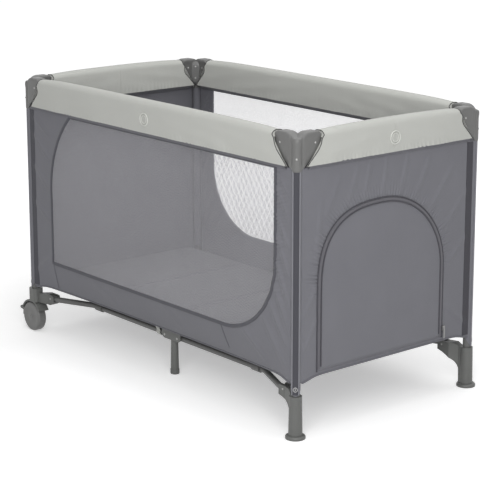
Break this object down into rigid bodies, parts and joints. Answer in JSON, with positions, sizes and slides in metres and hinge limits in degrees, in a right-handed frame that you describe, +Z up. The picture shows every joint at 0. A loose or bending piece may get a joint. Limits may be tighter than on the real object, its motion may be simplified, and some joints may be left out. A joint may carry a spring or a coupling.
{
  "type": "folding playpen",
  "caption": "Folding travel playpen with cloth walls, net windows, a zipped end door, padded folding rails, a folded floor frame and two castors with brakes.",
  "frame": {"origin": "on the floor, under the middle of the rectangle of the four posts", "axes": "+X along the length towards the zipped door end, -Y towards the front long side, +Z up"},
  "size_m": [1.263, 0.661, 0.766],
  "materials": {
    "frame_tube": "grey powder coat",
    "grey_plastic": "fine moulded grain",
    "wheel_plastic": "satin",
    "rivet_steel": "bright",
    "rim_cloth": "pale grey plain weave, padded",
    "wall_cloth": "grey plain weave",
    "net": "knitted net",
    "zip_metal": "satin",
    "mattress_cloth": "grey quilt cover"
  },
  "bodies": {
    "corner_front_left": {"post_front_left": "frame_tube", "top_bracket_front_left": "grey_plastic", "rivets_front_left": "rivet_steel", "castor_bracket_front_left": "grey_plastic", "long_wall_front": "wall_cloth", "window_net_front": "net", "end_wall_left": "wall_cloth", "floor_cloth": "wall_cloth"},
    "corner_front_right": {"post_front_right": "frame_tube", "top_bracket_front_right": "grey_plastic", "rivets_front_right": "rivet_steel", "foot_front_right": "grey_plastic", "end_wall_right": "wall_cloth"},
    "corner_back_left": {"post_back_left": "frame_tube", "top_bracket_back_left": "grey_plastic", "rivets_back_left": "rivet_steel", "castor_bracket_back_left": "grey_plastic", "long_wall_back": "wall_cloth", "window_net_back": "net"},
    "corner_back_right": {"post_back_right": "frame_tube", "top_bracket_back_right": "grey_plastic", "rivets_back_right": "rivet_steel", "foot_back_right": "grey_plastic"},
    "long_rail_front_left": {"long_rail_front_left": "frame_tube", "long_rim_front_left": "rim_cloth"},
    "short_rail_front_left": {"short_rail_front_left": "frame_tube", "short_rim_front_left": "rim_cloth"},
    "floor_bar_front_left": {"floor_bar_front_left": "frame_tube"},
    "long_rail_front_right": {"long_rail_front_right": "frame_tube", "long_rim_front_right": "rim_cloth"},
    "short_rail_front_right": {"short_rail_front_right": "frame_tube", "short_rim_front_right": "rim_cloth"},
    "floor_bar_front_right": {"floor_bar_front_right": "frame_tube"},
    "long_rail_back_left": {"long_rail_back_left": "frame_tube", "long_rim_back_left": "rim_cloth"},
    "short_rail_back_left": {"short_rail_back_left": "frame_tube", "short_rim_back_left": "rim_cloth"},
    "floor_bar_back_left": {"floor_bar_back_left": "frame_tube"},
    "long_rail_back_right": {"long_rail_back_right": "frame_tube", "long_rim_back_right": "rim_cloth"},
    "short_rail_back_right": {"short_rail_back_right": "frame_tube", "short_rim_back_right": "rim_cloth"},
    "floor_bar_back_right": {"floor_bar_back_right": "frame_tube"},
    "rail_lock_front": {"rail_lock_front": "grey_plastic"},
    "lock_button_front": {"lock_button_front": "grey_plastic"},
    "rail_lock_back": {"rail_lock_back": "grey_plastic"},
    "lock_button_back": {"lock_button_back": "grey_plastic"},
    "rail_lock_left": {"rail_lock_left": "grey_plastic"},
    "lock_button_left": {"lock_button_left": "grey_plastic"},
    "rail_lock_right": {"rail_lock_right": "grey_plastic"},
    "lock_button_right": {"lock_button_right": "grey_plastic"},
    "mid_leg_front": {"mid_leg_front": "grey_plastic"},
    "mid_leg_back": {"mid_leg_back": "grey_plastic"},
    "castor_wheel_front_left": {"castor_wheel_front_left": "wheel_plastic"},
    "brake_lever_front_left": {"brake_lever_front_left": "grey_plastic"},
    "castor_wheel_back_left": {"castor_wheel_back_left": "wheel_plastic"},
    "brake_lever_back_left": {"brake_lever_back_left": "grey_plastic"},
    "door_flap": {"door_flap": "wall_cloth"},
    "zip_slider": {"zip_slider": "zip_metal"},
    "mattress": {"mattress": "mattress_cloth"}
  },
  "joints": [
    {"name": "frame_fold", "type": "hinge", "parent": "corner_front_left", "child": "long_rail_front_left", "pos_m": [-0.535, -0.305, 0.735], "axis": [0, 1, 0], "range_deg": [0, 90], "deforming": ["long_wall_front", "long_wall_back", "window_net_front", "window_net_back", "end_wall_left", "end_wall_right", "floor_cloth", "mattress", "door_flap", "long_rim_front_left", "long_rim_front_right", "long_rim_back_left", "long_rim_back_right", "short_rim_front_left", "short_rim_front_right", "short_rim_back_left", "short_rim_back_right"]},
    {"name": "front_lock_left_pivot", "type": "hinge", "parent": "long_rail_front_left", "child": "rail_lock_front", "pos_m": [-0.043, -0.305, 0.735], "axis": [0, -1, 0], "range_deg": [0, 90]},
    {"name": "front_lock_right_pivot", "type": "hinge", "parent": "rail_lock_front", "child": "long_rail_front_right", "pos_m": [0.043, -0.305, 0.735], "axis": [0, -1, 0], "range_deg": [0, 90]},
    {"name": "front_right_post_pivot", "type": "hinge", "parent": "long_rail_front_right", "child": "corner_front_right", "pos_m": [0.535, -0.305, 0.735], "axis": [0, 1, 0], "range_deg": [0, 90]},
    {"name": "right_rail_front_pivot", "type": "hinge", "parent": "corner_front_right", "child": "short_rail_front_right", "pos_m": [0.58, -0.26, 0.735], "axis": [-1, 0, 0], "range_deg": [0, 90]},
    {"name": "right_lock_front_pivot", "type": "hinge", "parent": "short_rail_front_right", "child": "rail_lock_right", "pos_m": [0.58, -0.043, 0.735], "axis": [1, 0, 0], "range_deg": [0, 90]},
    {"name": "right_lock_back_pivot", "type": "hinge", "parent": "rail_lock_right", "child": "short_rail_back_right", "pos_m": [0.58, 0.043, 0.735], "axis": [1, 0, 0], "range_deg": [0, 90]},
    {"name": "left_rail_front_pivot", "type": "hinge", "parent": "corner_front_left", "child": "short_rail_front_left", "pos_m": [-0.58, -0.26, 0.735], "axis": [-1, 0, 0], "range_deg": [0, 90]},
    {"name": "left_lock_front_pivot", "type": "hinge", "parent": "short_rail_front_left", "child": "rail_lock_left", "pos_m": [-0.58, -0.043, 0.735], "axis": [1, 0, 0], "range_deg": [0, 90]},
    {"name": "left_lock_back_pivot", "type": "hinge", "parent": "rail_lock_left", "child": "short_rail_back_left", "pos_m": [-0.58, 0.043, 0.735], "axis": [1, 0, 0], "range_deg": [0, 90]},
    {"name": "back_left_post_pivot", "type": "hinge", "parent": "short_rail_back_left", "child": "corner_back_left", "pos_m": [-0.58, 0.26, 0.735], "axis": [-1, 0, 0], "range_deg": [0, 90]},
    {"name": "back_rail_left_pivot", "type": "hinge", "parent": "corner_back_left", "child": "long_rail_back_left", "pos_m": [-0.535, 0.305, 0.735], "axis": [0, 1, 0], "range_deg": [0, 90]},
    {"name": "back_lock_left_pivot", "type": "hinge", "parent": "long_rail_back_left", "child": "rail_lock_back", "pos_m": [-0.043, 0.305, 0.735], "axis": [0, -1, 0], "range_deg": [0, 90]},
    {"name": "back_lock_right_pivot", "type": "hinge", "parent": "rail_lock_back", "child": "long_rail_back_right", "pos_m": [0.043, 0.305, 0.735], "axis": [0, -1, 0], "range_deg": [0, 90]},
    {"name": "back_right_post_pivot", "type": "hinge", "parent": "long_rail_back_right", "child": "corner_back_right", "pos_m": [0.535, 0.305, 0.735], "axis": [0, 1, 0], "range_deg": [0, 90]},
    {"name": "front_floor_bar_left_pivot", "type": "hinge", "parent": "corner_front_left", "child": "floor_bar_front_left", "pos_m": [-0.52, -0.283, 0.108], "axis": [0, -1, 0], "range_deg": [0, 90]},
    {"name": "front_mid_leg_left_pivot", "type": "hinge", "parent": "floor_bar_front_left", "child": "mid_leg_front", "pos_m": [-0.028, -0.233, 0.108], "axis": [0, 1, 0], "range_deg": [0, 90]},
    {"name": "front_mid_leg_right_pivot", "type": "hinge", "parent": "mid_leg_front", "child": "floor_bar_front_right", "pos_m": [0.028, -0.233, 0.108], "axis": [0, 1, 0], "range_deg": [0, 90]},
    {"name": "back_floor_bar_left_pivot", "type": "hinge", "parent": "corner_back_left", "child": "floor_bar_back_left", "pos_m": [-0.52, 0.283, 0.108], "axis": [0, -1, 0], "range_deg": [0, 90]},
    {"name": "back_mid_leg_left_pivot", "type": "hinge", "parent": "floor_bar_back_left", "child": "mid_leg_back", "pos_m": [-0.028, 0.233, 0.108], "axis": [0, 1, 0], "range_deg": [0, 90]},
    {"name": "back_mid_leg_right_pivot", "type": "hinge", "parent": "mid_leg_back", "child": "floor_bar_back_right", "pos_m": [0.028, 0.233, 0.108], "axis": [0, 1, 0], "range_deg": [0, 90]},
    {"name": "mattress_lift", "type": "slide", "parent": "corner_front_left", "child": "mattress", "axis": [-0.6023, -0.2656, 0.7528], "range_m": [0, 0.81693]},
    {"name": "front_button_press", "type": "slide", "parent": "rail_lock_front", "child": "lock_button_front", "axis": [0, 1, 0], "range_m": [0, 0.005], "stiffness_N_per_m": 900},
    {"name": "back_button_press", "type": "slide", "parent": "rail_lock_back", "child": "lock_button_back", "axis": [0, -1, 0], "range_m": [0, 0.005], "stiffness_N_per_m": 900},
    {"name": "left_button_press", "type": "slide", "parent": "rail_lock_left", "child": "lock_button_left", "axis": [1, 0, 0], "range_m": [0, 0.005], "stiffness_N_per_m": 900},
    {"name": "right_button_press", "type": "slide", "parent": "rail_lock_right", "child": "lock_button_right", "axis": [-1, 0, 0], "range_m": [0, 0.005], "stiffness_N_per_m": 900},
    {"name": "castor_spin_front_left", "type": "hinge", "parent": "corner_front_left", "child": "castor_wheel_front_left", "pos_m": [-0.59, -0.305, 0.043], "axis": [0, 1, 0], "continuous": true},
    {"name": "brake_press_front_left", "type": "hinge", "parent": "corner_front_left", "child": "brake_lever_front_left", "pos_m": [-0.63308, -0.305, 0.06688], "axis": [0, -1, 0], "range_deg": [0, 6]},
    {"name": "castor_spin_back_left", "type": "hinge", "parent": "corner_back_left", "child": "castor_wheel_back_left", "pos_m": [-0.59, 0.305, 0.043], "axis": [0, 1, 0], "continuous": true},
    {"name": "brake_press_back_left", "type": "hinge", "parent": "corner_back_left", "child": "brake_lever_back_left", "pos_m": [-0.63308, 0.305, 0.06688], "axis": [0, -1, 0], "range_deg": [0, 6]},
    {"name": "door_open", "type": "hinge", "parent": "corner_front_right", "child": "door_flap", "pos_m": [0.5908, 0, 0.162], "axis": [0, 1, 0], "range_deg": [0, 105]},
    {"name": "zip_slide", "type": "slide", "parent": "corner_front_right", "child": "zip_slider", "axis": [0, 0, 1], "range_m": [0, 0.15]}
  ],
  "couplings": [
    {"joint": "front_lock_left_pivot", "follows": "frame_fold", "ratio": 1},
    {"joint": "front_lock_right_pivot", "follows": "frame_fold", "ratio": 1},
    {"joint": "front_right_post_pivot", "follows": "frame_fold", "ratio": 1},
    {"joint": "right_rail_front_pivot", "follows": "frame_fold", "ratio": 1},
    {"joint": "right_lock_front_pivot", "follows": "frame_fold", "ratio": 1},
    {"joint": "right_lock_back_pivot", "follows": "frame_fold", "ratio": 1},
    {"joint": "left_rail_front_pivot", "follows": "frame_fold", "ratio": 1},
    {"joint": "left_lock_front_pivot", "follows": "frame_fold", "ratio": 1},
    {"joint": "left_lock_back_pivot", "follows": "frame_fold", "ratio": 1},
    {"joint": "back_left_post_pivot", "follows": "frame_fold", "ratio": 1},
    {"joint": "back_rail_left_pivot", "follows": "frame_fold", "ratio": 1},
    {"joint": "back_lock_left_pivot", "follows": "frame_fold", "ratio": 1},
    {"joint": "back_lock_right_pivot", "follows": "frame_fold", "ratio": 1},
    {"joint": "back_right_post_pivot", "follows": "frame_fold", "ratio": 1},
    {"joint": "front_floor_bar_left_pivot", "follows": "frame_fold", "ratio": 1},
    {"joint": "front_mid_leg_left_pivot", "follows": "frame_fold", "ratio": 1},
    {"joint": "front_mid_leg_right_pivot", "follows": "frame_fold", "ratio": 1},
    {"joint": "back_floor_bar_left_pivot", "follows": "frame_fold", "ratio": 1},
    {"joint": "back_mid_leg_left_pivot", "follows": "frame_fold", "ratio": 1},
    {"joint": "back_mid_leg_right_pivot", "follows": "frame_fold", "ratio": 1},
    {"joint": "mattress_lift", "follows": "frame_fold", "m_per_rad": 0.52008}
  ]
}
